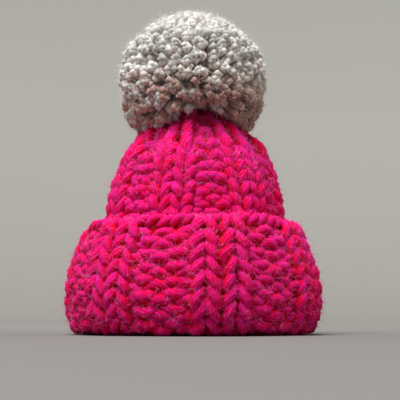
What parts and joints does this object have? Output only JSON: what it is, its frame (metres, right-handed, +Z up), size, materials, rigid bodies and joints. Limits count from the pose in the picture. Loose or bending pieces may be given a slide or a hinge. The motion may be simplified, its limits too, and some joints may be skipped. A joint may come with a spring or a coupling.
{
  "type": "egg cosy",
  "caption": "Knitted egg cosy shaped as a ribbed bobble hat with a folded cuff and a pompom, hollow, worn over a boiled egg to keep it warm.",
  "frame": {"origin": "centre of the ring on which the folded cuff stands, on the surface under it", "axes": "+Z up through the crown and the pompom, -Y towards the viewer of the picture, +X to the right in it"},
  "size_m": [0.0838, 0.0858, 0.1067],
  "materials": {
    "pink_yarn": "matt soft chunky yarn, ribbed knit with a light halo",
    "cream_yarn": "matt soft yarn ends, cut and trimmed to a ball"
  },
  "bodies": {
    "root": {"knitted_cosy": "pink_yarn", "pompom": "cream_yarn"}
  },
  "joints": []
}
